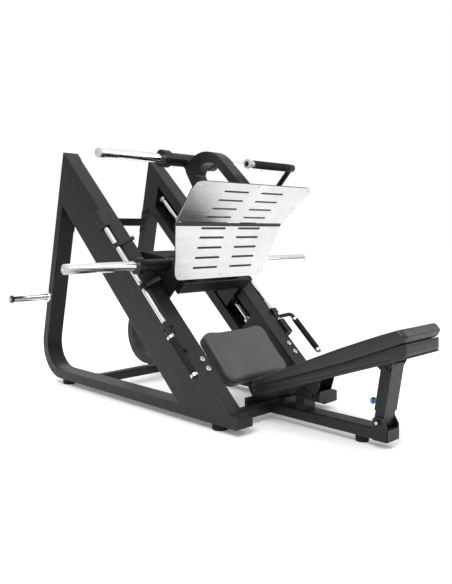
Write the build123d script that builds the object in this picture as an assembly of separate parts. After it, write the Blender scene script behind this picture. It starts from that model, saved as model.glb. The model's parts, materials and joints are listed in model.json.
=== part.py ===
from build123d import *
import math
import os

# Inclined rails
RAIL_ANGLE = 43.0
APEX_Y = 954.0
APEX_Z = 1377.0
BEAM_IN = 270.0
BEAM_OUT = 370.0
BEAM_DEPTH = 240.0
FLANGE_DEPTH = 60.0
WEB_THICK = 6.0
BEAM_END_S = 1887.0
WINDOW_TOP_S = 190.0
WINDOW_END_S = 1318.0

# Bent base and upright tube
TUBE_DEPTH = 50.0
BASE_BOTTOM = 33.0
BASE_TOP = 83.0
BASE_FRONT_Y = -426.0
REAR_LEAN = 0.2051
BEND_RADIUS = 200.0

PEG = (1120.0, 512.0)
PEG_R = 22.5
PEG_END = 604.0

# Front base and seat support
CROSS_FRONT_Y = -396.0
BLOCK_FRONT_Y = -486.0
BLOCK_TOP = 90.0
CENTRE_FRONT_Y = -1032.0
CENTRE_HALF = 45.0
SEAT_RAIL_Z0 = 135.0
SEAT_RAIL_Z1 = 185.0
HINGE_Y = -652.0
HINGE_Z = 160.0
HINGE_BOLT_R = 8.0

# Guide rods and sled
GUIDE_X = 318.0
GUIDE_N = -120.0
GUIDE_R = 20.0
RUN_FIT = 0.06
PLATE_X0 = 244.0
PLATE_X1 = 256.0
LOWER_BAR_S = 1037.0
LOWER_BAR_N = 93.5
LOWER_BAR_R = 30.0
UPPER_BAR_S = 560.0
UPPER_BAR_N = 420.0
UPPER_BAR_R = 36.0
HORN_R = 25.0
LOWER_HORN_START = 458.0
LOWER_HORN_END = 850.0
UPPER_HORN_START = 196.0
UPPER_HORN_END = 586.0
HORN_CAP = 13.0

# Foot plates
FOLD = (-97.0, 955.0)
UPPER_DIR = (-0.722, 0.692)
LOWER_DIR = (0.3063, -0.952)
UPPER_LENGTH = 267.0
LOWER_LENGTH = 303.6
SHEET = 3.0
BACKING = 8.0
SLOT_HALF = 6.0
SLOT_IN = 45.0
SLOT_OUT = 216.0
UPPER_ROWS = (39.0, 97.0, 155.0, 214.0)
LOWER_ROWS = (31.0, 80.0, 134.0, 188.0, 242.0)

# Safety stop rods
STOP_X = 392.0
STOP_N = -8.0
STOP_R = 12.5
STOP_TOP_S = 620.0
STOP_END_S = 1500.0
ARM_S = (790.0, 1092.0)
ARM_TIP = (312.0, 54.0)
CRANK_S = 1388.0
CRANK_X = 455.0
CRANK_N = 40.0
CRANK_R = 11.0
CRANK_BEND = 24.0
GRIP_R = 17.0

# Backrest and adjusting post
POST_PIVOT = (-994.0, 110.0)
POST_LEAN = 9.97
PIVOT_ALONG = 233.0
SLEEVE_START = 47.0
SLEEVE_HALF_X = 47.0
PIN_ALONG = 65.0
CHEEK_X = 49.0
SLEEVE_HALF = 26.0
SLEEVE_WALL = 4.0
INNER_END = 205.0
REST_BOTTOM = ((-386.0, 130.0), (-1176.0, 411.0))

SIN = math.sin(math.radians(RAIL_ANGLE))
COS = math.cos(math.radians(RAIL_ANGLE))


def rail(s, n):
    """Side-view point at distance s down the rail and n above it."""
    return (APEX_Y - COS * s - SIN * n, APEX_Z - SIN * s + COS * n)


def rail3(x, s, n):
    y, z = rail(s, n)
    return Vector(x, y, z)


def yz_prism(points, x0, x1):
    face = make_face(Polyline(*points, close=True))
    return extrude(Plane.YZ.offset(x0) * face, amount=x1 - x0)


def rail_prism(points, x0, x1):
    return yz_prism([rail(s, n) for s, n in points], x0, x1)


def rail_box(x0, x1, s0, s1, n0, n1):
    return rail_prism([(s0, n0), (s1, n0), (s1, n1), (s0, n1)], x0, x1)


def block(x0, x1, y0, y1, z0, z1):
    return yz_prism([(y0, z0), (y1, z0), (y1, z1), (y0, z1)], x0, x1)


def rod(start, end, radius):
    line = Vector(*end) - Vector(*start)
    base = Plane(origin=start, z_dir=line)
    return extrude(base * Circle(radius), amount=line.length)


def x_rod(x0, x1, point, radius):
    return rod((x0, point[0], point[1]), (x1, point[0], point[1]), radius)


def ring(start, end, outer, inner):
    return rod(start, end, outer) - rod(start, end, inner)


def x_ring(x0, x1, point, outer, inner):
    return x_rod(x0, x1, point, outer) - x_rod(x0, x1, point, inner)


def mirrored(part):
    return mirror(part, about=Plane.YZ)


def both(part):
    return part + mirrored(part)


def rounded(part, direction, radius, keep):
    axis = Vector(*direction).normalized()
    chosen = []
    for edge in part.edges():
        along = (edge @ 1 - edge @ 0).normalized()
        if abs(along.dot(axis)) > 0.999 and keep(edge.center()):
            chosen.append(edge)
    return fillet(chosen, radius)


def height_over_rail(point):
    return SIN * (APEX_Y - point.Y) + COS * (point.Z - APEX_Z)


def upright_s(n):
    """Where the front face of the upright crosses height n."""
    gap = TUBE_DEPTH * math.sqrt(1 + REAR_LEAN ** 2)
    return (gap - SIN * n + COS * REAR_LEAN * n) / (COS + SIN * REAR_LEAN)


def base_s(n):
    return (APEX_Z + COS * n - BASE_TOP) / SIN


# Side frames
def beam_top_rail():
    n1 = -FLANGE_DEPTH
    outline = [(upright_s(0), 0), (BEAM_END_S, 0), (base_s(-6), -6)]
    outline += [(base_s(n1), n1), (upright_s(n1), n1)]
    bar = rail_prism(outline, BEAM_IN, BEAM_OUT)
    return rounded(bar, (0, COS, SIN), 8, lambda p: height_over_rail(p) > -3)


def beam_bottom_rail():
    n0 = -BEAM_DEPTH
    n1 = FLANGE_DEPTH - BEAM_DEPTH
    outline = [(upright_s(n0), n0), (base_s(n0), n0), (base_s(n1), n1), (upright_s(n1), n1)]
    bar = rail_prism(outline, BEAM_IN, BEAM_OUT)
    return rounded(bar, (0, COS, SIN), 8, lambda p: height_over_rail(p) < n0 + 3)


def beam_web():
    n0 = FLANGE_DEPTH - BEAM_DEPTH
    n1 = -FLANGE_DEPTH
    outline = [(upright_s(n0), n0), (base_s(n0), n0), (base_s(n1), n1), (upright_s(n1), n1)]
    body = rail_prism(outline, BEAM_IN, BEAM_OUT)
    window = [(WINDOW_TOP_S, n1), (WINDOW_END_S, n1), (WINDOW_END_S, n0), (WINDOW_TOP_S + 70, n0)]
    return body - rail_prism(window, BEAM_IN, BEAM_OUT - WEB_THICK)


def upright():
    """Base tube and leaning upright bent from one length of tube."""
    step = TUBE_DEPTH * math.sqrt(1 + REAR_LEAN ** 2)
    corner_y = APEX_Y + (APEX_Z - BASE_BOTTOM) * REAR_LEAN
    outer_corner = (corner_y, BASE_BOTTOM)
    inner_corner = (corner_y - step - TUBE_DEPTH * REAR_LEAN, BASE_TOP)
    top_front = rail(upright_s(0), 0)
    top_rear = (APEX_Y, APEX_Z)
    outer = FilletPolyline((BASE_FRONT_Y, BASE_BOTTOM), outer_corner, top_rear, radius=BEND_RADIUS)
    inner = FilletPolyline((BASE_FRONT_Y, BASE_TOP), inner_corner, top_front, radius=BEND_RADIUS - TUBE_DEPTH)
    front = Line((BASE_FRONT_Y, BASE_BOTTOM), (BASE_FRONT_Y, BASE_TOP))
    top = Line(top_rear, top_front)
    face = make_face(outer.edges() + inner.edges() + front.edges() + top.edges())
    return extrude(Plane.YZ.offset(BEAM_IN) * face, amount=BEAM_OUT - BEAM_IN)


def guide_rod():
    return rod(rail3(GUIDE_X, 242, GUIDE_N), rail3(GUIDE_X, WINDOW_END_S, GUIDE_N), GUIDE_R)


def rod_clamps():
    upper = ring(rail3(GUIDE_X, 250, GUIDE_N), rail3(GUIDE_X, 266, GUIDE_N), 32, GUIDE_R)
    lower = ring(rail3(GUIDE_X, 1290, GUIDE_N), rail3(GUIDE_X, 1318, GUIDE_N), 32, GUIDE_R)
    return upper + lower


def stop_bearings():
    bore = rod(rail3(STOP_X, 500, STOP_N), rail3(STOP_X, 1560, STOP_N), STOP_R + RUN_FIT)
    blocks = []
    for s0, s1 in ((530, 648), (1336, 1368), (1418, 1510)):
        lug = rail_box(BEAM_OUT, STOP_X + 22, s0, s1, STOP_N - 22, STOP_N + 22)
        blocks.append(rounded(lug, (0, COS, SIN), 8, lambda p: p.X > STOP_X) - bore)
    return Part() + blocks


def storage_peg():
    return x_rod(BEAM_OUT + 8, PEG_END, PEG, PEG_R) + x_rod(BEAM_OUT, BEAM_OUT + 8, PEG, 32)


def beam_bolts():
    bolts = []
    for x in (-320, 320):
        for s in (1580, 1637):
            bolts.append(rod(rail3(x, s, 0), rail3(x, s, 3), 15))
            bolts.append(rod(rail3(x, s, 3), rail3(x, s, 12), 10))
    return Part() + bolts


def rubber_feet():
    feet = []
    for x in (-320, 320):
        for y in (-330, 960):
            feet.append(rod((x, y, 0), (x, y, BASE_BOTTOM), 40))
    feet.append(rod((0, -886, 0), (0, -886, BASE_BOTTOM), 30))
    return Part() + feet


def front_blocks():
    bar = block(BEAM_IN, BEAM_OUT, BLOCK_FRONT_Y, BASE_FRONT_Y, BASE_BOTTOM, BLOCK_TOP)
    return rounded(bar, (1, 0, 0), 6, lambda p: True)


def crossmember(y0, y1, z0, z1):
    bar = block(-BEAM_IN, BEAM_IN, y0, y1, z0, z1)
    return rounded(bar, (1, 0, 0), 6, lambda p: True)


def upright_face(z):
    """Front face of the upright at height z."""
    return APEX_Y + (APEX_Z - z) * REAR_LEAN - TUBE_DEPTH * math.sqrt(1 + REAR_LEAN ** 2)


def rear_crossmember():
    """Upper tube with a bolted flange against each upright."""
    z0 = 905
    z1 = 1048
    outline = [(upright_face(z0) + 2, z0), (upright_face(z0) + 48, z0)]
    outline += [(upright_face(z1) + 48, z1), (upright_face(z1) + 2, z1)]
    flange = yz_prism(outline, BEAM_IN - 6, BEAM_IN)
    y = upright_face(968)
    tube = block(6 - BEAM_IN, BEAM_IN - 6, y + 3, y + 46, 944, 993)
    return rounded(tube, (1, 0, 0), 6, lambda p: True) + both(flange)


def flange_bolts():
    heads = []
    for z in (920, 1033):
        heads.append(x_rod(BEAM_IN - 14, BEAM_IN - 6, (upright_face(z) + 25, z), 9))
    return both(Part() + heads)


def centre_tube():
    bar = block(-CENTRE_HALF, CENTRE_HALF, CENTRE_FRONT_Y, CROSS_FRONT_Y, BASE_BOTTOM, BASE_TOP)
    return rounded(bar, (0, 1, 0), 6, lambda p: True)


def seat_rail():
    outline = [(-690, SEAT_RAIL_Z0), (-546, SEAT_RAIL_Z0), (-546, 163)]
    outline += [(-592, SEAT_RAIL_Z1), (-690, SEAT_RAIL_Z1)]
    bar = yz_prism(outline, -CENTRE_HALF, CENTRE_HALF)
    bar = rounded(bar, (0, 1, 0), 6, lambda p: True)
    return bar - x_rod(-60, 60, (HINGE_Y, HINGE_Z), HINGE_BOLT_R + RUN_FIT)


def seat_pedestal():
    """Post under the seat rail and lower block behind it."""
    return block(-40, 40, -598, -548, BASE_TOP, SEAT_RAIL_Z0) + block(-40, 40, -478, -444, BASE_TOP, 118)


def post_bracket():
    outline = [(-1036, BASE_BOTTOM), (-970, BASE_BOTTOM), (-970, 122), (-982, 134), (-1014, 134), (-1036, 96)]
    cheek = yz_prism(outline, CENTRE_HALF, CENTRE_HALF + 6)
    cheek = cheek - x_rod(30, 60, POST_PIVOT, 7)
    return both(cheek)


def post_pivot_bolt():
    shank = x_rod(-51, 51, POST_PIVOT, 7)
    heads = x_rod(-60, -51, POST_PIVOT, 12) + x_rod(51, 60, POST_PIVOT, 12)
    return shank + heads


def front_end_cap():
    return block(-CENTRE_HALF, CENTRE_HALF, CENTRE_FRONT_Y - 8, CENTRE_FRONT_Y, BASE_BOTTOM, BASE_TOP)


# Seat
SEAT_REAR = (-100.0, 403.0)
SEAT_FRONT = (-295.0, 200.0)


def seat_plane(depth):
    dy = SEAT_REAR[0] - SEAT_FRONT[0]
    dz = SEAT_REAR[1] - SEAT_FRONT[1]
    size = math.hypot(dy, dz)
    mid_y = (SEAT_REAR[0] + SEAT_FRONT[0]) / 2
    mid_z = (SEAT_REAR[1] + SEAT_FRONT[1]) / 2
    up = (-dz / size, dy / size)
    origin = (0, mid_y - up[0] * depth, mid_z - up[1] * depth)
    return Plane(origin=origin, x_dir=(1, 0, 0), z_dir=(0, up[0], up[1]))


def seat_pad():
    pad = extrude(seat_plane(60) * RectangleRounded(430, 281, 62), amount=60)
    rims = pad.faces().sort_by(Axis((0, 0, 0), seat_plane(0).z_dir))[-1].edges()
    return fillet(rims, 14)


def seat_pan():
    return extrude(seat_plane(66.3) * RectangleRounded(380, 240, 40), amount=6)


def seat_leg():
    """Sloping leg from the front crossmember to the pan, with a cross bar at its foot."""
    plane = seat_plane(66.3)
    up = plane.z_dir
    along = Vector(0, up.Z, -up.Y)
    low = plane.origin - along * 118
    high = plane.origin - along * 10
    rear = CROSS_FRONT_Y + 50
    points = [(rear, 36), (rear, 83), (low.Y, low.Z), (high.Y, high.Z), (rear + 46, 36)]
    bar = block(-150, 150, rear, rear + 24, 60, 112)
    return yz_prism(points, -35, 35) + bar


# Sled
def sled_plate():
    outline = [(1162, -110), (1165, 96), (1140, 120), (1037, 129), (990, 104), (790, -40), (790, -110)]
    plate = rail_prism(outline, PLATE_X0, PLATE_X1)
    return plate - x_rod(PLATE_X0 - 5, PLATE_X1 + 5, rail(LOWER_BAR_S, LOWER_BAR_N), LOWER_BAR_R)


def sled_tube(s0, s1, n0, n1):
    bar = rail_box(-PLATE_X0, PLATE_X0, s0, s1, n0, n1)
    return rounded(bar, (1, 0, 0), 5, lambda p: True)


def slide_bearing(s0, s1):
    housing = rail_box(PLATE_X1, GUIDE_X + 32, s0, s1, GUIDE_N - 32, GUIDE_N + 32)
    housing = rounded(housing, (0, COS, SIN), 10, lambda p: p.X > GUIDE_X)
    return housing - rod(rail3(GUIDE_X, s0 - 5, GUIDE_N), rail3(GUIDE_X, s1 + 5, GUIDE_N), GUIDE_R + RUN_FIT)


def bearing_seals():
    seals = []
    for s0, s1 in ((1157, 1165), (792, 800)):
        seals.append(ring(rail3(GUIDE_X, s0, GUIDE_N), rail3(GUIDE_X, s1, GUIDE_N), 28, GUIDE_R + RUN_FIT))
    return Part() + seals


def horn(point, x0, x1):
    return x_rod(x0, x1, point, HORN_R)


def horn_cap(point, x0, radius):
    cap = x_rod(x0, x0 + HORN_CAP, point, radius - 0.5)
    cap = chamfer(cap.faces().sort_by(Axis.X)[-1].edges(), 3)
    return cap - x_rod(x0 + HORN_CAP - 4, x0 + HORN_CAP, point, 9)


def rail_sketch(points, corners):
    """Face in side view, with rounded corners given as (s, n, radius)."""
    face = make_face(Polyline(*points, close=True))
    for s, n, radius in corners:
        face = fillet(face.vertices().sort_by_distance((s, n, 0))[0], radius)
    return face


def hoop():
    """Bent tube that carries the upper bar."""
    outer = [(1051, 614), (603, 614), (603, 392), (1008, 290), (1008, 450), (1051, 450)]
    inner = [(1100, 564), (690, 564), (690, 428), (1100, 331)]
    face = rail_sketch(outer, [(603, 614, 188), (603, 392, 32)])
    face = face - rail_sketch(inner, [(690, 564, 100), (690, 428, 26)])
    plane = Plane(origin=(37, APEX_Y, APEX_Z), x_dir=(0, -COS, -SIN), z_dir=(-1, 0, 0))
    tube = extrude(plane * face, amount=74) + rail_box(-37, 37, 575, 612, 396, 444)
    return tube - x_rod(-60, 60, rail(UPPER_BAR_S, UPPER_BAR_N), UPPER_BAR_R)


def plate_plane(direction, depth):
    """Plane of a foot plate: x across, y away from the fold, z to the user."""
    front = (-direction[1], direction[0]) if direction[1] > 0 else (direction[1], -direction[0])
    origin = (0, FOLD[0] - front[0] * depth, FOLD[1] - front[1] * depth)
    return Plane(origin=origin, x_dir=(1 if direction[1] > 0 else -1, 0, 0), z_dir=(0, front[0], front[1]))


def sheet(direction, start, length, half0, half1, depth, thickness, corner):
    face = make_face(Polyline((-half0, start), (half0, start), (half1, length), (-half1, length), close=True))
    face = fillet(face.vertices().sort_by(Axis.Y)[-2:], corner)
    return extrude(plate_plane(direction, depth) * face, amount=thickness)


def slots(direction, rows):
    cutters = []
    mid = (SLOT_IN + SLOT_OUT) / 2
    for row in rows:
        for side in (-1, 1):
            shape = Pos(side * mid, row) * SlotOverall(SLOT_OUT - SLOT_IN, 2 * SLOT_HALF)
            cutters.append(extrude(plate_plane(direction, 4) * shape, amount=8))
    return cutters


def upper_footplate():
    return sheet(UPPER_DIR, 3, UPPER_LENGTH, 390, 431, SHEET, SHEET, 40) - slots(UPPER_DIR, UPPER_ROWS)


def lower_footplate():
    return sheet(LOWER_DIR, 20, LOWER_LENGTH, 384, 316, SHEET, SHEET, 40) - slots(LOWER_DIR, LOWER_ROWS)


def upper_backing():
    return sheet(UPPER_DIR, 6, UPPER_LENGTH - 2, 389, 429, SHEET + BACKING, BACKING, 40)


def lower_backing():
    return sheet(LOWER_DIR, 4, LOWER_LENGTH - 2, 387, 315, SHEET + BACKING, BACKING, 40)


def plate_screws():
    heads = []
    spots = [(UPPER_DIR, [(0, 253), (400, 246), (-400, 246), (380, 116), (-380, 116)])]
    spots.append((LOWER_DIR, [(0, 286), (290, 276), (-290, 276)]))
    for direction, places in spots:
        for x, y in places:
            heads.append(extrude(plate_plane(direction, 0) * (Pos(x, y) * Circle(6)), amount=2.5))
    return Part() + heads


def plate_rib():
    outline = [(1178, 113), (1036, 404), (1050, 600), (1015, 600), (965, 420), (1020, 200), (1072, 113)]
    return rail_prism(outline, 150, 160)


def rib_tube():
    bar = rail_box(-150, 150, 1008, 1036, 285, 345)
    return bar


# Handle over the right end of the foot plate
HANDLE = (883.6, 665.4)


def handle_strut():
    path = FilletPolyline(rail3(405, 884, 645), rail3(405, 884, 240), rail3(405, 1037, 93.5), radius=60)
    tube = sweep(Plane(origin=path @ 0, z_dir=path % 0) * Circle(15), path=path)
    return tube - x_rod(380, 430, rail(LOWER_BAR_S, LOWER_BAR_N), LOWER_BAR_R)


def handle_core():
    return x_rod(50, 405, rail(*HANDLE), 14) + x_rod(388, 420, rail(*HANDLE), 21)


def handle_grip():
    return x_ring(97, 388, rail(*HANDLE), 21.5, 14)


def handle_cap():
    return x_ring(50, 62, rail(*HANDLE), 25, 14) + x_ring(62, 97, rail(*HANDLE), 17, 14)


# Safety stops
def stop_rod():
    return rod(rail3(STOP_X, STOP_TOP_S, STOP_N), rail3(STOP_X, STOP_END_S, STOP_N), STOP_R)


def catch_arm(s):
    hub = rod(rail3(STOP_X, s - 11, STOP_N), rail3(STOP_X, s + 11, STOP_N), 19)
    dx = ARM_TIP[0] - STOP_X
    dn = ARM_TIP[1] - STOP_N
    base = Plane(origin=rail3(STOP_X, s, STOP_N), x_dir=rail3(0, 1, 0) - rail3(0, 0, 0),
                 z_dir=rail3(dx, 0, dn) - rail3(0, 0, 0))
    finger = extrude(base * RectangleRounded(22, 14, 5), amount=math.hypot(dx, dn))
    bore = rod(rail3(STOP_X, s - 20, STOP_N), rail3(STOP_X, s + 20, STOP_N), STOP_R)
    return hub + finger - bore


def crank():
    start = rail3(STOP_X, CRANK_S, STOP_N)
    knee = rail3(CRANK_X, CRANK_S + 26, CRANK_N)
    path = FilletPolyline(start, knee, rail3(CRANK_X, 1690, CRANK_N), radius=CRANK_BEND)
    tube = sweep(Plane(origin=path @ 0, z_dir=path % 0) * Circle(CRANK_R), path=path)
    hub = rod(rail3(STOP_X, CRANK_S - 14, STOP_N), rail3(STOP_X, CRANK_S + 14, STOP_N), 19)
    bore = rod(rail3(STOP_X, CRANK_S - 30, STOP_N), rail3(STOP_X, CRANK_S + 40, STOP_N), STOP_R)
    return hub + tube - bore


def crank_grip():
    return ring(rail3(CRANK_X, 1463, CRANK_N), rail3(CRANK_X, 1672, CRANK_N), GRIP_R, CRANK_R)


def grip_collars():
    first = ring(rail3(CRANK_X, 1450, CRANK_N), rail3(CRANK_X, 1463, CRANK_N), GRIP_R + 2, CRANK_R)
    second = ring(rail3(CRANK_X, 1672, CRANK_N), rail3(CRANK_X, 1685, CRANK_N), GRIP_R + 2, CRANK_R)
    return first + second


# Backrest
def rest_offset(y, up):
    """Point above the bottom line of the backrest."""
    (y0, z0), (y1, z1) = REST_BOTTOM
    slope = (z1 - z0) / (y1 - y0)
    size = math.hypot(1, slope)
    return (y - up * slope / size, z0 + (y - y0) * slope + up / size)


def pad_solid(points, corner, edge):
    pad = yz_prism(points, -155, 155)
    ends = []
    for item in pad.edges():
        mid = item.center()
        if abs(abs(mid.X) - 155) < 0.1 and item.length < 95:
            if mid.Y < -1150 or mid.Y > -400:
                ends.append(item)
    return fillet(ends, corner)


def backrest_board():
    points = [rest_offset(-392, 0), rest_offset(-1168, 0), rest_offset(-1168, 12), rest_offset(-392, 12)]
    board = yz_prism(points, -148, 148)
    return board


def backrest_base_pad():
    low = [rest_offset(-384, 12.3), rest_offset(-1172, 12.3)]
    return pad_solid(low + [(-1168, 471), (-896, 360), (-366, 166)], 30, 0)


def backrest_top_pad():
    seam = [(-366, 166.4), (-896, 360.4), (-1168, 471.4)]
    top = [(-1184.47, 500), (-1159, 528), (-896, 433), (-680, 336), (-372, 202), (-362, 185)]
    return pad_solid(seam + top, 30, 0)


def hinge_ears():
    low = rest_offset(HINGE_Y + 42, 0)
    high = rest_offset(HINGE_Y - 48, 0)
    outline = [low, high, (HINGE_Y - 20, HINGE_Z - 10)]
    outline += [(HINGE_Y - 8, HINGE_Z - 19), (HINGE_Y + 12, HINGE_Z - 17)]
    ear = yz_prism(outline, CHEEK_X, CHEEK_X + 6)
    return both(ear - x_rod(40, 60, (HINGE_Y, HINGE_Z), HINGE_BOLT_R))


def hinge_bolt():
    point = (HINGE_Y, HINGE_Z)
    heads = x_rod(-62, -55, point, 11.5) + x_rod(55, 62, point, 11.5)
    return x_rod(-55, 55, point, HINGE_BOLT_R) + heads


POST_UP = (-math.sin(math.radians(POST_LEAN)), math.cos(math.radians(POST_LEAN)))


def post(a, b):
    """Side-view point a along the post and b to its rear."""
    return (POST_PIVOT[0] + a * POST_UP[0] + b * POST_UP[1], POST_PIVOT[1] + a * POST_UP[1] - b * POST_UP[0])


def post_box(half, a0, a1, b0, b1):
    return yz_prism([post(a0, b0), post(a1, b0), post(a1, b1), post(a0, b1)], -half, half)


def post_inner():
    depth = SLEEVE_HALF - SLEEVE_WALL
    tube = post_box(SLEEVE_HALF_X - SLEEVE_WALL, -18, INNER_END, -depth, depth)
    groove = post_box(7, PIN_ALONG - 12, PIN_ALONG + 62, SLEEVE_HALF - SLEEVE_WALL - 12, SLEEVE_HALF)
    return tube - groove - x_rod(-60, 60, POST_PIVOT, 7.06)


def sleeve_top(b):
    """Sleeve end cut parallel to the backrest."""
    y, z = rest_offset(0, -9)
    ry, rz = post(0, b)
    (y0, z0), (y1, z1) = REST_BOTTOM
    slope = (z1 - z0) / (y1 - y0)
    top = (z + slope * (ry - y) - rz) / (POST_UP[1] - slope * POST_UP[0])
    return post(top, b)


def post_sleeve():
    half = SLEEVE_HALF
    outline = [post(SLEEVE_START, -half), sleeve_top(-half), sleeve_top(half), post(SLEEVE_START, half)]
    body = yz_prism(outline, -SLEEVE_HALF_X, SLEEVE_HALF_X)
    inside = half - SLEEVE_WALL + RUN_FIT
    cavity = post_box(SLEEVE_HALF_X - SLEEVE_WALL + RUN_FIT, SLEEVE_START - 10, 320, -inside, inside)
    shell = body - cavity
    shell = shell - x_rod(-60, 60, post(PIVOT_ALONG, 0), 8)
    return shell - rod((0, *post(PIN_ALONG, 10)), (0, *post(PIN_ALONG, 40)), 5.06)


def pin_housing():
    start = (0, *post(PIN_ALONG, SLEEVE_HALF))
    end = (0, *post(PIN_ALONG, SLEEVE_HALF + 20))
    return ring(start, end, 12, 5.06)


def top_clevis():
    pivot = post(PIVOT_ALONG, 0)
    low = rest_offset(pivot[0] + 40, 0)
    high = rest_offset(pivot[0] - 40, 0)
    outline = [low, high, (pivot[0] - 14, pivot[1] - 12)]
    outline += [(pivot[0], pivot[1] - 18), (pivot[0] + 16, pivot[1] - 12)]
    cheek = yz_prism(outline, CHEEK_X, CHEEK_X + 6)
    return both(cheek - x_rod(40, 60, pivot, 6.2))


def top_pivot_bolt():
    pivot = post(PIVOT_ALONG, 0)
    heads = x_rod(-61, -55, pivot, 9.5) + x_rod(55, 61, pivot, 9.5)
    return x_rod(-55, 55, pivot, 6.2) + heads


def pull_pin():
    return rod((0, *post(PIN_ALONG, 13)), (0, *post(PIN_ALONG, 62)), 5)


def pull_knob():
    start = (0, *post(PIN_ALONG, 47))
    knob = rod(start, (0, *post(PIN_ALONG, 68)), 14) - rod(start, (0, *post(PIN_ALONG, 62)), 5)
    return knob


def build():
    nodes = {}
    sided = {}
    sided["beam_top_rail"] = beam_top_rail()
    sided["beam_bottom_rail"] = beam_bottom_rail()
    sided["beam_web"] = beam_web()
    sided["base_upright"] = upright()
    sided["stop_rod"] = stop_rod() + grip_collars()
    sided["catch_arms"] = catch_arm(ARM_S[0]) + catch_arm(ARM_S[1])
    sided["stop_crank"] = crank()
    sided["stop_grip"] = crank_grip()
    for name, part in sided.items():
        nodes["left_" + name] = mirrored(part)
        nodes["right_" + name] = part
    lower = rail(LOWER_BAR_S, LOWER_BAR_N)
    upper = rail(UPPER_BAR_S, UPPER_BAR_N)
    caps = horn_cap(lower, LOWER_HORN_END, HORN_R) + horn_cap(upper, UPPER_HORN_END, HORN_R)
    horns = horn(lower, LOWER_HORN_START, LOWER_HORN_END) + horn(upper, UPPER_HORN_START, UPPER_HORN_END)
    nodes["plate_horns"] = both(horns)
    nodes["horn_caps"] = both(caps)
    nodes["guide_rods"] = both(guide_rod())
    nodes["rod_clamps"] = both(rod_clamps())
    nodes["stop_bearings"] = both(stop_bearings())
    nodes["storage_pegs"] = both(storage_peg())
    nodes["sled_plates"] = both(sled_plate())
    nodes["slide_bearings"] = both(slide_bearing(1050, 1157) + slide_bearing(800, 890))
    nodes["slide_rubbers"] = both(bearing_seals())
    nodes["peg_caps"] = both(horn_cap(PEG, PEG_END, PEG_R))
    nodes["beam_bolts"] = beam_bolts()
    nodes["rubber_feet"] = rubber_feet()
    base_cross = crossmember(CROSS_FRONT_Y, CROSS_FRONT_Y + 50, BASE_BOTTOM, BASE_TOP)
    nodes["base_crossmembers"] = base_cross + crossmember(700, 750, BASE_BOTTOM, BASE_TOP)
    nodes["rear_crossmember"] = rear_crossmember() + flange_bolts()
    nodes["front_blocks"] = both(front_blocks())
    nodes["centre_base"] = centre_tube() + front_end_cap()
    nodes["seat_rail"] = seat_rail() + seat_pedestal()
    nodes["post_bracket"] = post_bracket()
    nodes["post_pivot_bolt"] = post_pivot_bolt()
    nodes["seat_pad"] = seat_pad()
    nodes["seat_frame"] = seat_pan() + seat_leg()
    nodes["sled_tubes"] = sled_tube(1110, 1192, 34, 112) + sled_tube(800, 850, -90, -40)
    nodes["lower_bar"] = x_rod(-421, 421, lower, LOWER_BAR_R)
    nodes["upper_bar"] = x_rod(-148, 148, upper, UPPER_BAR_R)
    collars = x_rod(421, LOWER_HORN_START, lower, 42.5) + x_rod(148, UPPER_HORN_START, upper, 47.5)
    nodes["bar_collars"] = both(collars)
    nodes["hoop"] = hoop()
    nodes["upper_footplate"] = upper_footplate()
    nodes["lower_footplate"] = lower_footplate()
    nodes["upper_backing"] = upper_backing()
    nodes["lower_backing"] = lower_backing()
    nodes["plate_screws"] = plate_screws()
    nodes["plate_frame"] = both(plate_rib()) + rib_tube()
    nodes["handle_frame"] = handle_strut() + handle_core()
    nodes["handle_grip"] = handle_grip()
    nodes["handle_cap"] = handle_cap()
    nodes["backrest_board"] = backrest_board()
    nodes["backrest_base_pad"] = backrest_base_pad()
    nodes["backrest_top_pad"] = backrest_top_pad()
    nodes["backrest_hinge"] = hinge_ears() + top_clevis()
    nodes["hinge_bolts"] = hinge_bolt() + top_pivot_bolt()
    nodes["post_inner"] = post_inner()
    nodes["post_sleeve"] = post_sleeve() + pin_housing()
    nodes["pull_pin"] = pull_pin()
    nodes["pull_knob"] = pull_knob()
    return nodes


os.makedirs("parts", exist_ok=True)
for node_name, node_part in build().items():
    export_step(node_part, "parts/" + node_name + ".step")
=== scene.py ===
import bpy
import bmesh
import json
import math
import numpy as np
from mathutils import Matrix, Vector


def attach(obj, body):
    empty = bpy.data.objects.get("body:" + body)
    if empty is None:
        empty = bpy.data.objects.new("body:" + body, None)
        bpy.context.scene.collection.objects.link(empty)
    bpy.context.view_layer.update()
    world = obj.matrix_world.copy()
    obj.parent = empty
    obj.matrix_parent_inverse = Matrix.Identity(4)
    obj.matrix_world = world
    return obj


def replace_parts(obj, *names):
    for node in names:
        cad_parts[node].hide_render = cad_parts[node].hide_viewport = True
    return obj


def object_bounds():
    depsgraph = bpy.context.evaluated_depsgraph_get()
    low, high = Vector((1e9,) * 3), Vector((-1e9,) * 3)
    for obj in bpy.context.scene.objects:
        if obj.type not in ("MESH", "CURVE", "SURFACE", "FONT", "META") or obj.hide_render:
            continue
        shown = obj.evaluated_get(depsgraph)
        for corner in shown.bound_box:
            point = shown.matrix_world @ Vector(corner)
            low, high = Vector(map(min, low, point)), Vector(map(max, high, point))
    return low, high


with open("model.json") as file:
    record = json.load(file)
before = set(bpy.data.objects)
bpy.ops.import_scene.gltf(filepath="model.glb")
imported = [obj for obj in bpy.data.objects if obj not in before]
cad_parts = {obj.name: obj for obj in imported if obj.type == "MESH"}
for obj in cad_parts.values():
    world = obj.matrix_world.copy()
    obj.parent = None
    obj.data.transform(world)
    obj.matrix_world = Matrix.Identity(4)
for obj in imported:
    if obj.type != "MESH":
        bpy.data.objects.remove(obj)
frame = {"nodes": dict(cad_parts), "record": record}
cad_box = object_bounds()
NODES = frame["nodes"]
RECORD = frame["record"]
SLOT_OF = {s["node"]: s["material_slot"] for s in RECORD["subparts"]}
JOINTS = {j["name"]: j for j in RECORD["behaviour"]["joints"]}

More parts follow.
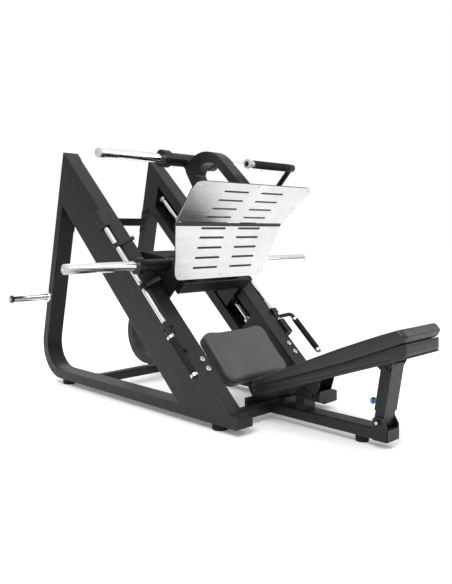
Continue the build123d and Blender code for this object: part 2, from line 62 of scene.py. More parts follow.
X_AXIS = Vector((1, 0, 0))
Z_AXIS = Vector((0, 0, 1))
RAIL = Vector(JOINTS["sled_slide"]["axis"]).normalized()
RAIL_NORMAL = X_AXIS.cross(RAIL).normalized()
PULL = Vector(JOINTS["pin_pull"]["axis"]).normalized()

# Lengths are in metres.
# Width of the lighter edge band: partly paint wear, partly painted highlight on the edges.
WEAR_AND_HIGHLIGHT_WIDTH = 0.0025
SHARP_ANGLE = math.radians(38)
BOX_CORNERS = 8
STOP_BORE = 0.0105
HANDLE_BORE = 0.0140
GRIP_CHAMFER = 0.002
GRIP_PLAIN_END = 0.010
RIB_PITCH = 0.0062
RIB_DEPTH = 0.0013
FOOT_RIBS = 3
FOOT_RIB_PITCH = 0.0068
FOOT_RIB_DEPTH = 0.0024
HEAD_SHARE = 0.9
CAP_SCREW_SHARE = 0.34
BOLT_SCREW_SHARE = 0.62
CAP_SCREW_HEIGHT = 0.005
CAP_SCREW_SINK = 0.001
KNOB_GROWTH = 1.12
KNOB_NECK = 0.007
KNOB_FLUTES = 8
BEAD_SIDES = 8
WELD_RADIUS = 0.0032
WELD_PITCH = 0.0046
WELT_RADIUS = 0.0019
WELT_PITCH = 0.0045
WELT_GAP = 0.006
WELT_BELOW_TOP = 0.019
HELD_COSINE = 0.85
CORNER_START = 0.45
CORNER_BAND = 0.4
SIM_FRAMES = 20
SIM_PRESSURE = 4.0
GROWTH_BLUR_ROUNDS = 40
GROWTH_PERCENTILE = 97
FLOOR_DROP = 0.0005
FLOOR_REACH = 12


# ---- materials ----
class Shader:
    """A node material under construction."""

    def __init__(self, name, metal, spec):
        self.mat = bpy.data.materials.new(name)
        self.mat.use_nodes = True
        self.tree = self.mat.node_tree
        self.bsdf = self.tree.nodes["Principled BSDF"]
        self.bsdf.inputs["Metallic"].default_value = metal
        self.bsdf.inputs["Specular IOR Level"].default_value = spec
        self.coords = self.add("ShaderNodeTexCoord").outputs["Object"]

    def add(self, kind, **inputs):
        node = self.tree.nodes.new(kind)
        for key, value in inputs.items():
            self.feed(node.inputs[key.replace("_", " ")], value)
        return node

    def feed(self, socket, value):
        if isinstance(value, bpy.types.NodeSocket):
            self.tree.links.new(value, socket)
        else:
            socket.default_value = value

    def noise(self, scale, detail=4.0, stretch=None):
        where = self.coords
        if stretch:
            where = self.add("ShaderNodeMapping", Vector=where, Scale=stretch).outputs[0]
        return self.add("ShaderNodeTexNoise", Vector=where, Scale=scale, Detail=detail).outputs[0]

    def cells(self, scale):
        return self.add("ShaderNodeTexVoronoi", Vector=self.coords, Scale=scale).outputs["Distance"]

    def spread(self, value, low, high, start=0.3, end=0.7):
        node = self.add("ShaderNodeMapRange", Value=value)
        limits = {"From Min": start, "From Max": end, "To Min": low, "To Max": high}
        for key, number in limits.items():
            node.inputs[key].default_value = number
        return node.outputs[0]

    def times(self, a, b):
        node = self.add("ShaderNodeMath")
        node.operation = "MULTIPLY"
        self.feed(node.inputs[0], a)
        self.feed(node.inputs[1], b)
        return node.outputs[0]

    def mix(self, factor, a, b):
        node = self.add("ShaderNodeMix")
        node.data_type = "RGBA"
        self.feed(node.inputs["Factor"], factor)
        self.feed(node.inputs[6], a)
        self.feed(node.inputs[7], b)
        return node.outputs[2]

    def bump(self, height, strength, distance, below=None):
        node = self.add("ShaderNodeBump", Height=height, Strength=strength, Distance=distance)
        if below:
            self.feed(node.inputs["Normal"], below)
        return node.outputs[0]

    def edges(self, radius):
        """1 on outer edges narrower than the radius, broken up by noise."""
        bevel = self.add("ShaderNodeBevel", Radius=radius)
        bevel.samples = 4
        dot = self.add("ShaderNodeVectorMath")
        dot.operation = "DOT_PRODUCT"
        self.feed(dot.inputs[0], bevel.outputs[0])
        self.feed(dot.inputs[1], self.add("ShaderNodeNewGeometry").outputs["Normal"])
        mask = self.spread(dot.outputs["Value"], 1.0, 0.0, 0.82, 0.985)
        return self.times(mask, self.spread(self.noise(38.0), 0.0, 1.0, 0.42, 0.66))


def shade(colour, factor):
    return tuple(min(1.0, c * factor) for c in colour) + (1.0,)


def finish_material(name, colour, rough, metal=0.0, spec=0.5, tone=0.15, tone_scale=9.0,
                    rough_spread=0.06, grain=(1100.0, 0.12, 0.0002), stretch=None,
                    leather=None, wear_and_edge_highlight=None, coat=0.0, sheen=0.0):
    """Patchy base colour and roughness over a fine grain. A grain is (scale, strength, distance)."""
    s = Shader(name, metal, spec)
    patch = s.spread(s.noise(tone_scale), 0.0, 1.0)
    base = s.mix(patch, shade(colour, 1 - tone), shade(colour, 1 + tone))
    smear = s.noise(tone_scale * 3.1, stretch=stretch)
    roughness = s.spread(smear, rough - rough_spread, rough + rough_spread)
    scale, strength, distance = grain
    normal = s.bump(s.noise(scale, 2.0, stretch), strength, distance)
    if leather:
        cell_scale, cell_strength = leather
        normal = s.bump(s.cells(cell_scale), cell_strength, 0.0006, normal)
        normal = s.bump(s.noise(17.0), 0.14, 0.003, normal)
    # Lighter colour on outer edges: partly paint wear, partly painted edge highlight.
    if wear_and_edge_highlight:
        base = s.mix(s.edges(WEAR_AND_HIGHLIGHT_WIDTH), base, shade(wear_and_edge_highlight, 1.0))
    s.feed(s.bsdf.inputs["Base Color"], base)
    s.feed(s.bsdf.inputs["Roughness"], roughness)
    s.feed(s.bsdf.inputs["Normal"], normal)
    s.bsdf.inputs["Coat Weight"].default_value = coat
    s.bsdf.inputs["Sheen Weight"].default_value = sheen
    return s.mat


BRUSH_ACROSS = (0.02, 1.0, 1.0)
LEATHER_GRAIN = (1700.0, .2, .0002)
# The edge colours lighten each material's outer edges: partly paint wear, partly painted highlight.
MATERIALS = {
    "frame_paint": finish_material(
        "frame_paint", (.0085, .0086, .009), .40, spec=.30, grain=(1500.0, .22, .0002),
        wear_and_edge_highlight=(.06, .06, .063)),
    "sled_paint": finish_material(
        "sled_paint", (.0075, .0076, .008), .36, spec=.30, grain=(1500.0, .20, .0002),
        wear_and_edge_highlight=(.055, .055, .058)),
    "chrome": finish_material(
        "chrome", (.80, .81, .83), .10, metal=1.0, tone=.05, rough_spread=.045,
        grain=(520.0, .012, .0001)),
    "plate_steel": finish_material(
        "plate_steel", (.60, .597, .592), .27, metal=1.0, tone=.06, rough_spread=.05,
        grain=(900.0, .16, .0002), stretch=BRUSH_ACROSS, wear_and_edge_highlight=(.85, .85, .85)),
    "backing_black": finish_material(
        "backing_black", (.010, .010, .0105), .33, spec=.35, wear_and_edge_highlight=(.06, .06, .06)),
    "foot_rubber": finish_material(
        "foot_rubber", (.015, .015, .015), .72, spec=.3, tone=.3, rough_spread=.1,
        grain=(420.0, .3, .0004)),
    "grip_rubber": finish_material(
        "grip_rubber", (.006, .006, .0063), .62, spec=.25, tone=.25, rough_spread=.1,
        grain=(700.0, .35, .0003)),
    "cap_grey": finish_material(
        "cap_grey", (.42, .43, .45), .38, tone=.08, grain=(800.0, .15, .0002),
        wear_and_edge_highlight=(.6, .6, .62)),
    "bolt_steel": finish_material(
        "bolt_steel", (.62, .63, .65), .26, metal=1.0, tone=.1, grain=(900.0, .1, .0002)),
    "knob_blue": finish_material(
        "knob_blue", (.06, .26, .62), .24, tone=.12, grain=(600.0, .05, .0002), coat=.4),
    "seat_vinyl": finish_material(
        "seat_vinyl", (.050, .0505, .052), .50, spec=.45, tone=.10, grain=LEATHER_GRAIN,
        leather=(620.0, .30), sheen=.12),
    "rest_vinyl": finish_material(
        "rest_vinyl", (.013, .0132, .0138), .44, spec=.40, tone=.12, grain=LEATHER_GRAIN,
        leather=(620.0, .30), sheen=.05),
    "base_vinyl": finish_material(
        "base_vinyl", (.0095, .0097, .010), .44, spec=.36, tone=.12, grain=LEATHER_GRAIN,
        leather=(620.0, .28), sheen=.03),
    "board_black": finish_material(
        "board_black", (.014, .0135, .013), .6, tone=.3, grain=(240.0, .25, .0004),
        stretch=(1.0, 0.15, 0.15)),
    "seam_thread": finish_material(
        "seam_thread", (.009, .009, .0095), .7, spec=.3, grain=(2600.0, .5, .0002)),
    "weld_bead": finish_material(
        "weld_bead", (.009, .0092, .0096), .34, spec=.35, tone=.25, grain=(700.0, .3, .0004)),
}

for name, obj in NODES.items():
    obj.data.materials.clear()
    obj.data.materials.append(MATERIALS[SLOT_OF[name]])


# ---- pieces in mesh code ----
def piece(name, verts, faces, body, slot, material=None):
    """A new object from mesh data, riding on a body. The material is the slot's own unless named."""
    mesh = bpy.data.meshes.new(name)
    mesh.from_pydata([tuple(v) for v in verts], [], faces)
    mesh.update()
    bm = bmesh.new()
    bm.from_mesh(mesh)
    bmesh.ops.recalc_face_normals(bm, faces=bm.faces)
    bm.to_mesh(mesh)
    bm.free()
    mesh.shade_smooth()
    mesh.set_sharp_from_angle(angle=SHARP_ANGLE)
    obj = bpy.data.objects.new(name, mesh)
    bpy.context.scene.collection.objects.link(obj)
    obj.data.materials.append(MATERIALS[material or slot])
    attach(obj, body)
    return obj


def islands(node):
    """Vertex clouds of the separate solids in a CAD node."""
    mesh = NODES[node].data
    keys = {}
    index = []
    for v in mesh.vertices:
        key = tuple(round(c, 5) for c in v.co)
        index.append(keys.setdefault(key, len(keys)))
    parent = list(range(len(keys)))

    def root(i):
        while parent[i] != i:
            parent[i] = parent[parent[i]]
            i = parent[i]
        return i

    for poly in mesh.polygons:
        first = root(index[poly.vertices[0]])
        for v in poly.vertices[1:]:
            parent[root(index[v])] = first
    groups = {}
    for key, i in keys.items():
        groups.setdefault(root(i), []).append(key)
    clouds = [np.array(g) for g in groups.values() if len(g) >= BOX_CORNERS]
    return sorted(clouds, key=lambda c: tuple(c.mean(axis=0).round(4)))


def across(axis):
    """Two unit vectors square to the axis."""
    helper = Z_AXIS if abs(axis.z) < 0.9 else X_AXIS
    u = axis.cross(helper).normalized()
    return u, axis.cross(u).normalized()


def cylinder_of(cloud, axis):
    """Centre, half length and radius of a round solid along the axis."""
    u, v = across(axis)
    spans = []
    for direction in (axis, u, v):
        along = cloud @ np.array(direction)
        spans.append((along.min(), along.max()))
    mids = [(low + high) / 2 for low, high in spans]
    centre = axis * mids[0] + u * mids[1] + v * mids[2]
    return centre, (spans[0][1] - spans[0][0]) / 2, (spans[1][1] - spans[1][0]) / 2


def ring_faces(rows, size, closed):
    """Quads between successive rings of the same size, with end caps unless the rows close up."""
    faces = []
    for i in range(rows if closed else rows - 1):
        a = i * size
        b = ((i + 1) % rows) * size
        for k in range(size):
            n = (k + 1) % size
            faces.append((a + k, a + n, b + n, b + k))
    if not closed:
        faces.append(tuple(range(size)))
        faces.append(tuple((rows - 1) * size + k for k in reversed(range(size))))
    return faces


def lathe(origin, axis, profile, segments=48, closed=False):
    """Vertices and faces of a turned shape.

    A profile row is (along, radius, shape), and shape scales the radius by angle.
    """
    u, v = across(axis)
    verts = []
    for along, radius, shape in profile:
        for k in range(segments):
            angle = 2 * math.pi * k / segments
            r = radius * (shape(angle) if shape else 1.0)
            verts.append(origin + axis * along + (u * math.cos(angle) + v * math.sin(angle)) * r)
    return verts, ring_faces(len(profile), segments, closed)


def merged(shapes):
    """Several meshes as one list of vertices and one of faces."""
    verts = []
    faces = []
    for some_verts, some_faces in shapes:
        start = len(verts)
        verts += some_verts
        faces += [tuple(i + start for i in f) for f in some_faces]
    return verts, faces


def hexagon(angle):
    """Radius of a hexagon by angle, 1 at its corners."""
    return math.cos(math.pi / 6) / math.cos((angle % (math.pi / 3)) - math.pi / 6)


def ribbed_sleeve(length, radius, bore, pitch, depth):
    """Closed profile of a ribbed grip over a rod."""
    slope = GRIP_CHAMFER
    rows = [(-length, bore, None), (-length, radius - slope, None)]
    rows += [(-length + slope, radius, None), (-length + 0.008, radius, None)]
    ribbed = 2 * length - 2 * GRIP_PLAIN_END
    count = int(ribbed / pitch)
    step = ribbed / count
    for i in range(count):
        start = -length + GRIP_PLAIN_END + i * step
        for part, drop in ((0.0, depth), (0.28, depth), (0.42, 0.0), (0.86, 0.0)):
            rows.append((start + part * step, radius - drop, None))
    rows += [(length - 0.008, radius, None), (length - slope, radius, None)]
    rows += [(length, radius - slope, None), (length, bore, None)]
    return rows


def make_grip(node, axis, body, bore):
    centre, half, radius = cylinder_of(islands(node)[0], axis)
    verts, faces = lathe(centre, axis, ribbed_sleeve(half, radius, bore, RIB_PITCH, RIB_DEPTH), closed=True)
    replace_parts(piece(node + "_ribbed", verts, faces, body, "grip_rubber"), node)


def make_feet():
    shapes = []
    for cloud in islands("rubber_feet"):
        centre, half, radius = cylinder_of(cloud, Z_AXIS)
        rows = [(-half, radius * 0.90, None), (-half + 0.003, radius, None)]
        for rib in range(FOOT_RIBS):
            low = -half + 0.007 + rib * FOOT_RIB_PITCH
            rows += [(low, radius, None), (low + 0.0012, radius - FOOT_RIB_DEPTH, None)]
            rows += [(low + 0.003, radius - FOOT_RIB_DEPTH, None), (low + 0.0042, radius, None)]
        rows += [(half - 0.003, radius, None), (half, radius - 0.003, None)]
        shapes.append(lathe(centre, Z_AXIS, rows, 56))
    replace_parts(piece("feet_ribbed", *merged(shapes), "frame", "foot_rubber"), "rubber_feet")


def socket_head(origin, axis, height, radius):
    """Cap screw head with a hexagon recess in its outer face."""
    rim = min(0.18 * radius, 0.0016)
    rows = [(0, radius, None), (height - rim, radius, None)]
    rows += [(height - rim * 0.3, radius - rim * 0.4, None), (height, radius - rim, None)]
    rows += [(height, radius * 0.60, hexagon), (height - 0.0006, radius * 0.56, hexagon)]
    rows += [(height * 0.42, radius * 0.56, hexagon), (height * 0.36, radius * 0.2, None)]
    return lathe(origin, axis, rows, 36)


def roundest(cloud, axes):
    """The axis about which the cloud is most nearly a cylinder."""
    scores = []
    for axis in axes:
        centre, _, radius = cylinder_of(cloud, axis)
        u, v = across(axis)
        flat = (cloud - np.array(centre)) @ np.array([u, v]).T
        reach = np.hypot(flat[:, 0], flat[:, 1]).max()
        scores.append((abs(reach - radius), axis))
    return min(scores, key=lambda s: s[0])[1]


def make_socket_heads(node, body, slot, axes):
    shapes = []
    for cloud in islands(node):
        axis = roundest(cloud, axes)
        centre, half, radius = cylinder_of(cloud, axis)
        if abs(axis.x) > 0.9:
            axis = axis if centre.x > 0 else -axis
        shapes.append(socket_head(centre - axis * half, axis, 2 * half, radius * HEAD_SHARE))
    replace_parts(piece(node + "_heads", *merged(shapes), body, slot), node)


def make_cap_screws(node, body, share=CAP_SCREW_SHARE, both_ends=False):
    """A screw in the outer face of each cap in a node, or in both faces."""
    shapes = []
    for cloud in islands(node):
        centre, half, radius = cylinder_of(cloud, X_AXIS)
        out = X_AXIS if centre.x > 0 else -X_AXIS
        for face in (out, -out) if both_ends else (out,):
            start = centre + face * (half - CAP_SCREW_SINK)
            shapes.append(socket_head(start, face, CAP_SCREW_HEIGHT, radius * share))
    piece(node + "_screws", *merged(shapes), body, "bolt_steel")


def make_knob():
    centre, half, radius = cylinder_of(np.concatenate(islands("pull_knob")), PULL)
    radius *= KNOB_GROWTH

    def flutes(angle):
        return 1.0 - 0.035 * (0.5 + 0.5 * math.cos(KNOB_FLUTES * angle)) ** 2

    rows = [(-half - KNOB_NECK, radius * 0.46, None), (-half * 0.72, radius * 0.50, None)]
    rows += [(-half * 0.62, radius * 0.80, flutes), (-half * 0.46, radius * 0.98, flutes)]
    rows += [(half * 0.30, radius, flutes), (half * 0.62, radius * 0.93, flutes)]
    rows += [(half * 0.84, radius * 0.74, None), (half * 0.96, radius * 0.42, None)]
    rows += [(half, radius * 0.12, None)]
    verts, faces = lathe(centre + PULL * KNOB_NECK, PULL, rows, 96)
    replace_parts(piece("knob_fluted", verts, faces, "pin", "knob_blue"), "pull_knob")


def bead(points, radius, pitch):
    """Scalloped tube round a closed path, for weld beads and sewn welts."""
    path = [Vector(p) for p in points]
    path.append(path[0])
    samples = []
    travelled = 0.0
    for a, b in zip(path, path[1:]):
        length = (b - a).length
        count = max(1, round(length / (pitch / 4)))
        for k in range(count):
            samples.append((a.lerp(b, k / count), travelled + length * k / count))
        travelled += length
    verts = []
    total = len(samples)
    for i, (point, distance) in enumerate(samples):
        before = samples[i - 1][0]
        after = samples[(i + 1) % total][0]
        direction = (after - before).normalized()
        u, v = across(direction)
        r = radius * (0.80 + 0.20 * abs(math.sin(math.pi * distance / pitch)))
        for k in range(BEAD_SIDES):
            angle = 2 * math.pi * k / BEAD_SIDES
            verts.append(point + (u * math.cos(angle) + v * math.sin(angle)) * r)
    return verts, ring_faces(total, BEAD_SIDES, True)


def tube_end_loops(node, v_axis, w_axis, inset=0.0015, corner=0.006):
    """Rounded loops round both ends of each cross tube in a node."""
    loops = []
    for cloud in islands(node):
        spans = []
        for direction in (X_AXIS, v_axis, w_axis):
            along = cloud @ np.array(direction)
            spans.append((along.min(), along.max()))
        (x0, x1), (v0, v1), (w0, w1) = spans
        for x in (x0 + inset, x1 - inset):
            corners = []
            for cv, cw, start in ((v1, w1, 0), (v0, w1, 90), (v0, w0, 180), (v1, w0, 270)):
                mid_v = cv - corner if cv == v1 else cv + corner
                mid_w = cw - corner if cw == w1 else cw + corner
                for step in range(4):
                    angle = math.radians(start + 30 * step)
                    spot = (mid_v + corner * math.cos(angle), mid_w + corner * math.sin(angle))
                    corners.append(X_AXIS * x + v_axis * spot[0] + w_axis * spot[1])
            loops.append(corners)
    return loops


def make_welds():
    base_loops = tube_end_loops("base_crossmembers", Vector((0, 1, 0)), Z_AXIS)
    base = [bead(loop, WELD_RADIUS, WELD_PITCH) for loop in base_loops]
    piece("base_welds", *merged(base), "frame", "frame_paint", "weld_bead")
    sled_loops = tube_end_loops("sled_tubes", RAIL, RAIL_NORMAL)
    sled = [bead(loop, WELD_RADIUS, WELD_PITCH) for loop in sled_loops]
    piece("sled_welds", *merged(sled), "sled", "sled_paint", "weld_bead")


# ---- upholstery ----
def cad_copy(name, node):
    """A visible copy of a CAD node, without its tags and parent."""
    obj = NODES[node].copy()
    obj.data = NODES[node].data.copy()
    obj.name = name
    obj.data.name = name
    for key in list(obj.keys()):
        del obj[key]
    obj.parent = None
    obj.hide_render = False
    obj.hide_viewport = False
    bpy.context.scene.collection.objects.link(obj)
    return obj


def apply_modifiers(obj):
    """Replaces the object's mesh by what its modifiers make of it."""
    graph = bpy.context.evaluated_depsgraph_get()
    mesh = bpy.data.meshes.new_from_object(obj.evaluated_get(graph))
    old = obj.data
    obj.modifiers.clear()
    obj.data = mesh
    bpy.data.meshes.remove(old)


def spread_out(values, mesh, rounds, free=None, factor=0.5):
    """Blurs one row of numbers per vertex over the mesh, leaving the vertices that are not free."""
    count = len(mesh.vertices)
    edges = np.empty(len(mesh.edges) * 2, dtype=np.int64)
    mesh.edges.foreach_get("vertices", edges)
    a, b = edges.reshape(-1, 2).T
    degree = np.maximum(np.bincount(np.concatenate([a, b]), minlength=count), 1).reshape(-1, 1)
    for _ in range(rounds):
        total = np.zeros_like(values)
        for k in range(values.shape[1]):
            total[:, k] = np.bincount(a, values[b, k], count) + np.bincount(b, values[a, k], count)
        blurred = values + factor * (total / degree - values)
        values = blurred if free is None else np.where(free, blurred, values)
    return values


def relax(mesh, held, rounds):
    """Smooths the free vertices toward their neighbours."""
    points, _ = vertex_arrays(mesh)
    points = spread_out(points, mesh, rounds, free=(~held).reshape(-1, 1))
    mesh.vertices.foreach_set("co", points.ravel())
    mesh.update()


def vertex_arrays(mesh):
    """Positions and normals of the vertices, one row each."""
    count = len(mesh.vertices)
    points = np.empty(count * 3)
    normals = np.empty(count * 3)
    mesh.vertices.foreach_get("co", points)
    mesh.vertex_normals.foreach_get("vector", normals)
    return points.reshape(-1, 3), normals.reshape(-1, 3)


def stretch_ends(mesh, band, front, rear):
    """Pulls the end bands of a pad outward along Y, so that its rounded ends reach past its board."""
    points, _ = vertex_arrays(mesh)
    low, high = points[:, 1].min(), points[:, 1].max()
    points[:, 1] -= front * np.clip((low + band - points[:, 1]) / band, 0.0, 1.0)
    points[:, 1] += rear * np.clip((points[:, 1] - high + band) / band, 0.0, 1.0)
    mesh.vertices.foreach_set("co", points.ravel())
    mesh.update()


def square_corners(mesh, along, amount):
    """Pulls the four corners of a pad outward, across X and along its slope."""
    points, _ = vertex_arrays(mesh)
    axes = np.array([X_AXIS, along])
    flat = points @ axes.T
    middle = (flat.max(axis=0) + flat.min(axis=0)) / 2
    half = (flat.max(axis=0) - flat.min(axis=0)) / 2
    place = (flat - middle) / half
    weight = np.clip((np.abs(place) - CORNER_START) / CORNER_BAND, 0.0, 1.0)
    weight = weight.prod(axis=1, keepdims=True)
    points += (np.sign(place) * weight * amount) @ axes
    mesh.vertices.foreach_set("co", points.ravel())
    mesh.update()


def make_pad(name, node, body, slot, down, voxel, cap, shrink, rounds,
             arch=None, ends=None, corners=None):
    """Stuffed pad from the CAD solid.

    The solid is remeshed, its bend, ends and corners are reshaped, and it is inflated
    as cloth with its growth scaled to cap, then subdivided. The side facing down is
    held. A negative shrink grows the pad. Arch is (bend y, reach, change of slope),
    ends is (band, front, rear) and corners is (direction along the pad, amount).
    """
    obj = cad_copy(name, node)
    remesh = obj.modifiers.new("remesh", "REMESH")
    remesh.mode = "VOXEL"
    remesh.voxel_size = voxel
    apply_modifiers(obj)
    points, normals = vertex_arrays(obj.data)
    held = normals @ np.array(down) > HELD_COSINE
    points = np.where(held.reshape(-1, 1), points, points - normals * shrink)
    obj.data.vertices.foreach_set("co", points.ravel())
    if arch:
        soften_bend(obj.data, held, *arch)
    if ends:
        stretch_ends(obj.data, *ends)
    if corners:
        square_corners(obj.data, *corners)
    relax(obj.data, held, rounds)
    inflate(obj, held, cap)
    subdiv = obj.modifiers.new("subdivision", "SUBSURF")
    subdiv.levels = 1
    subdiv.render_levels = 1
    apply_modifiers(obj)
    obj.data.materials.clear()
    obj.data.materials.append(MATERIALS[slot])
    obj.data.shade_smooth()
    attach(obj, body)
    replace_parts(obj, node)
    return obj


def soften_bend(mesh, held, bend_y, reach, change):
    """Turns the bend in a pad's top outline into an arc of the given reach."""
    points, normals = vertex_arrays(mesh)
    near = np.clip(reach - np.abs(points[:, 1] - bend_y), 0.0, None)
    drop = change * near ** 2 / (4 * reach)
    points[:, 2] -= np.where(held, 0.0, drop * np.clip(normals[:, 2], 0.0, 1.0))
    mesh.vertices.foreach_set("co", points.ravel())
    mesh.update()


def inflate(obj, held, cap):
    """Blows the pad up as cloth, then blurs the growth and scales it to the cap."""
    before, _ = vertex_arrays(obj.data)
    group = obj.vertex_groups.new(name="held")
    group.add([int(i) for i in np.nonzero(held)[0]], 1.0, "REPLACE")
    cloth = obj.modifiers.new("cloth", "CLOTH")
    settings = cloth.settings
    settings.quality = 4
    settings.use_pressure = True
    settings.uniform_pressure_force = SIM_PRESSURE
    settings.vertex_group_mass = "held"
    settings.tension_stiffness = 60
    settings.compression_stiffness = 60
    settings.bending_stiffness = 8.0
    settings.effector_weights.gravity = 0.0
    cloth.collision_settings.use_collision = False
    scene = bpy.context.scene
    for number in range(1, SIM_FRAMES + 1):
        scene.frame_set(number)
    graph = bpy.context.evaluated_depsgraph_get()
    swollen = obj.evaluated_get(graph)
    after, _ = vertex_arrays(swollen.to_mesh())
    swollen.to_mesh_clear()
    obj.modifiers.remove(cloth)
    obj.vertex_groups.clear()
    scene.frame_set(1)
    move = spread_out(after - before, obj.data, GROWTH_BLUR_ROUNDS)
    size = np.linalg.norm(move, axis=1, keepdims=True)
    move = move * (cap / max(float(np.percentile(size, GROWTH_PERCENTILE)), 1e-6))
    size = np.linalg.norm(move, axis=1, keepdims=True)
    scale = np.minimum(1.0, cap / np.maximum(size, 1e-9))
    obj.data.vertices.foreach_set("co", (before + move * scale).ravel())
    obj.data.update()


def section_loop(obj, point, normal):
    """Longest closed loop where a plane cuts the piece, in order."""
    bm = bmesh.new()
    bm.from_mesh(obj.data)
    geometry = bm.verts[:] + bm.edges[:] + bm.faces[:]
    cut = bmesh.ops.bisect_plane(bm, geom=geometry, plane_co=point, plane_no=normal)["geom_cut"]
    edges = [e for e in cut if isinstance(e, bmesh.types.BMEdge)]
    bm.verts.index_update()
    links = {}
    for e in edges:
        a, b = e.verts
        links.setdefault(a.index, []).append(b.index)
        links.setdefault(b.index, []).append(a.index)
    bm.verts.ensure_lookup_table()
    best = []
    seen = set()
    for start in sorted(links):
        if start in seen:
            continue
        loop = [start]
        seen.add(start)
        while True:
            ahead = [n for n in links[loop[-1]] if n not in seen]
            if not ahead:
                break
            loop.append(ahead[0])
            seen.add(ahead[0])
        if len(loop) > len(best):
            best = loop
    points = [bm.verts[i].co.copy() for i in best]
    bm.free()
    return points


def thinned(points, gap):
    """Points of a closed loop at about equal gaps, smoothed once."""
    kept = [points[0]]
    for p in points[1:]:
        if (p - kept[-1]).length >= gap:
            kept.append(p)
    if (kept[-1] - kept[0]).length < gap * 0.6:
        kept.pop()
    count = len(kept)
    return [(kept[i - 1] + kept[i] * 2 + kept[(i + 1) % count]) / 4 for i in range(count)]


def make_welt(name, pad, point, normal, body, slot):
    """Sewn bead round a pad, where a plane cuts it."""
    loop = thinned(section_loop(pad, point, normal), WELT_GAP)
    piece(name, *bead(loop, WELT_RADIUS, WELT_PITCH), body, slot, "seam_thread")


def pad_down(node, guess):
    """Direction of the largest flat face of a pad on its mounting side."""
    facing = [p for p in NODES[node].data.polygons if p.normal.dot(guess) > 0.6]
    return max(facing, key=lambda p: p.area).normal.copy()


def make_pads():
    seat_down = pad_down("seat_pad", Vector((0, 0.7, -0.7)))
    seat = make_pad("seat_cushion", "seat_pad", "frame", "seat_vinyl", seat_down,
                    voxel=0.005, cap=0.0090, shrink=-0.0025, rounds=4,
                    corners=(X_AXIS.cross(seat_down), 0.009))
    top_face = max(v.co.dot(-seat_down) for v in NODES["seat_pad"].data.vertices)
    seam = -seat_down * (top_face - WELT_BELOW_TOP)
    make_welt("seat_welt", seat, seam, seat_down, "frame", "seat_vinyl")
    rest_down = pad_down("backrest_base_pad", Vector((0, 0.35, -0.93)))
    make_pad("backrest_base", "backrest_base_pad", "backrest", "base_vinyl", rest_down,
             voxel=0.006, cap=0.0020, shrink=-0.0005, rounds=1,
             ends=(0.05, 0.008, 0.007))
    make_pad("backrest_cushion", "backrest_top_pad", "backrest", "rest_vinyl", rest_down,
             voxel=0.006, cap=0.0050, shrink=-0.0005, rounds=3,
             arch=(-0.896, 0.27, 0.088), ends=(0.05, 0.001, 0.008))


# ---- floor, camera and light ----
def make_floor():
    low, high = (Vector(corner) for corner in cad_box)
    reach = (high - low).length * FLOOR_REACH
    corners = ((-reach, -reach), (reach, -reach), (reach, reach), (-reach, reach))
    verts = [(x, y, -FLOOR_DROP) for x, y in corners]
    mesh = bpy.data.meshes.new("floor")
    mesh.from_pydata(verts, [], [(0, 1, 2, 3)])
    floor = bpy.data.objects.new("floor", mesh)
    bpy.context.scene.collection.objects.link(floor)
    floor.data.materials.append(finish_material(
        "floor_pale", (.97, .97, .97), .85, spec=.0, tone=.004, tone_scale=1.2,
        grain=(60.0, .04, .0006)))
    shader = floor.data.materials[0].node_tree.nodes["Principled BSDF"]
    shader.inputs["Emission Color"].default_value = (1, 1, 1, 1)
    shader.inputs["Emission Strength"].default_value = 0.14


def make_camera():
    """The photograph's viewing angle, fitted to the machine's straight edges."""
    data = bpy.data.cameras.new("camera")
    data.lens = 40.93
    data.sensor_width = 36
    data.shift_y = -62 / 584
    camera = bpy.data.objects.new("camera", data)
    camera.location = (-2.459, -2.52, 0.917)
    heading = (0.7046, 0.7096)
    camera.rotation_euler = (math.pi / 2, 0, -math.atan2(*heading))
    bpy.context.scene.collection.objects.link(camera)
    bpy.context.scene.camera = camera


def area_light(name, place, target, size, power):
    data = bpy.data.lights.new(name, "AREA")
    data.shape = "DISK"
    data.size = size
    data.energy = power
    lamp = bpy.data.objects.new(name, data)
    lamp.location = place
    lamp.rotation_mode = "QUATERNION"
    lamp.rotation_quaternion = (Vector(target) - Vector(place)).to_track_quat("-Z", "Y")
    bpy.context.scene.collection.objects.link(lamp)


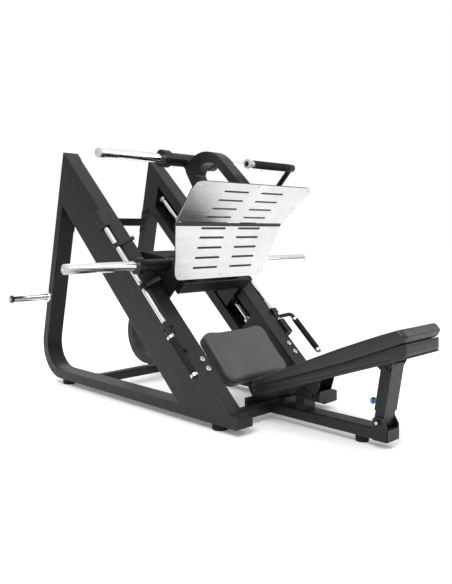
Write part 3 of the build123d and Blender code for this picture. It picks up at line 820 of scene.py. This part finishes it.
def make_light():
    """White studio: bright overhead, dimmer toward the horizon, plain white to the camera."""
    world = bpy.data.worlds.new("studio")
    bpy.context.scene.world = world
    world.use_nodes = True
    tree = world.node_tree
    tree.nodes.clear()
    coords = tree.nodes.new("ShaderNodeTexCoord")
    split = tree.nodes.new("ShaderNodeSeparateXYZ")
    ramp = tree.nodes.new("ShaderNodeValToRGB")
    lit = tree.nodes.new("ShaderNodeBackground")
    plain = tree.nodes.new("ShaderNodeBackground")
    path = tree.nodes.new("ShaderNodeLightPath")
    mix = tree.nodes.new("ShaderNodeMixShader")
    out = tree.nodes.new("ShaderNodeOutputWorld")
    link = tree.links.new
    link(coords.outputs["Generated"], split.inputs[0])
    link(split.outputs[2], ramp.inputs[0])
    stops = ((0.05, (0.26, 0.26, 0.265, 1)), (0.75, (1.12, 1.12, 1.12, 1)))
    for element, (position, colour) in zip(ramp.color_ramp.elements, stops):
        element.position = position
        element.color = colour
    link(ramp.outputs[0], lit.inputs["Color"])
    plain.inputs["Color"].default_value = (1, 1, 1, 1)
    link(path.outputs["Is Camera Ray"], mix.inputs[0])
    link(lit.outputs[0], mix.inputs[1])
    link(plain.outputs[0], mix.inputs[2])
    link(mix.outputs[0], out.inputs[0])
    centre = (0.0, 0.0, 0.6)
    area_light("key", (-2.6, -1.8, 3.4), centre, size=2.4, power=95)
    area_light("fill", (2.8, -3.0, 2.6), centre, size=2.6, power=45)
    area_light("back", (0.6, 3.4, 3.0), centre, size=2.4, power=60)
    bpy.context.scene.view_settings.view_transform = "Standard"


# ---- the scene ----
for side in ("left", "right"):
    make_grip(side + "_stop_grip", RAIL, side + "_stop", STOP_BORE)
make_grip("handle_grip", X_AXIS, "sled", HANDLE_BORE)
make_feet()
make_knob()
make_socket_heads("beam_bolts", "frame", "bolt_steel", (X_AXIS, RAIL_NORMAL, Z_AXIS))
make_cap_screws("horn_caps", "sled")
make_cap_screws("peg_caps", "frame")
NODES["post_pivot_bolt"].data.materials[0] = MATERIALS["frame_paint"]
NODES["peg_caps"].data.materials[0] = MATERIALS["backing_black"]
make_cap_screws("post_pivot_bolt", "frame", share=BOLT_SCREW_SHARE, both_ends=True)
make_welds()
make_pads()
make_floor()
make_camera()
make_light()
